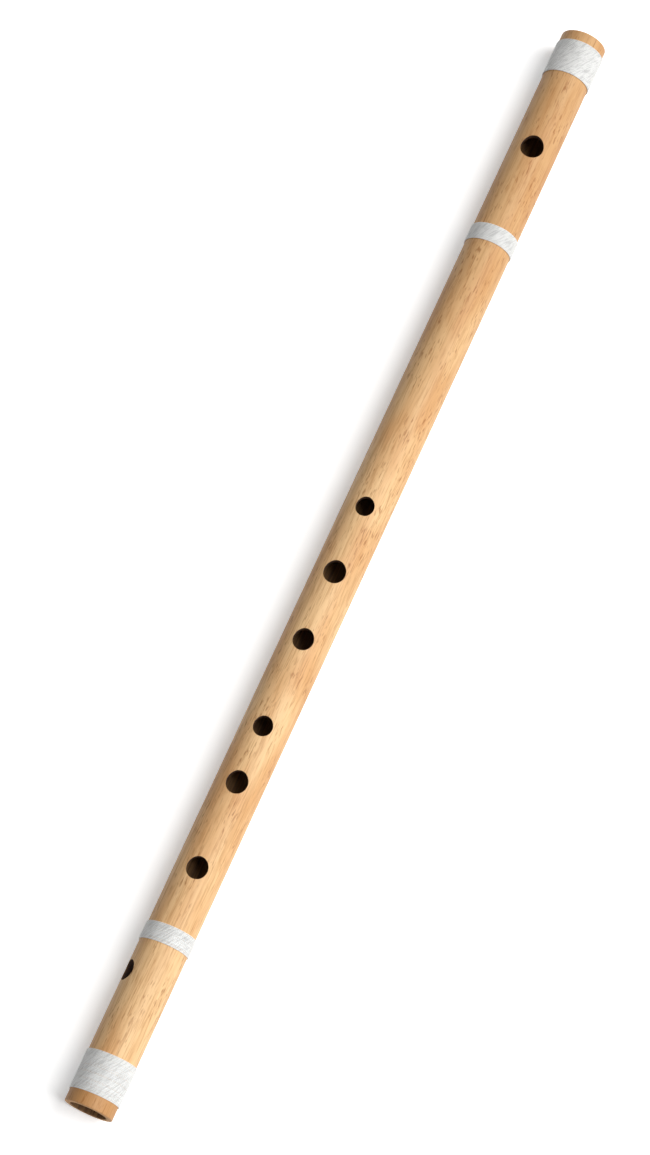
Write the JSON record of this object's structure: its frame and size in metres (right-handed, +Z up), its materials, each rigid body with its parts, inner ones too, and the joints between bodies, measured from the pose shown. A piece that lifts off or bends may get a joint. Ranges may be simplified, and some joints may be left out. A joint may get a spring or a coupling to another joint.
{
  "type": "bansuri",
  "caption": "Side-blown bamboo flute with a blow hole, a row of finger holes, a side tuning hole, thread bindings and a sliding cork stopper.",
  "frame": {"origin": "on the surface that the flute lies on, under the middle of the tube's length", "axes": "+X along the tube from head to tail, +Z up through the row of finger holes, -Y towards the tuning hole's side"},
  "size_m": [0.68, 0.0286, 0.0286],
  "materials": {
    "bamboo": "bare bamboo skin, lightly polished, semi-matt",
    "cork": "natural cork, matt",
    "thread": "white nylon thread, silky"
  },
  "bodies": {
    "flute": {"bamboo_tube": "bamboo", "head_end_binding": "thread", "head_inner_binding": "thread", "tail_inner_binding": "thread", "tail_end_binding": "thread"},
    "stopper": {"cork_stopper": "cork"}
  },
  "joints": [
    {"name": "stopper_slide", "type": "slide", "parent": "flute", "child": "stopper", "axis": [1, 0, 0], "range_m": [-0.008, 0.006]}
  ]
}
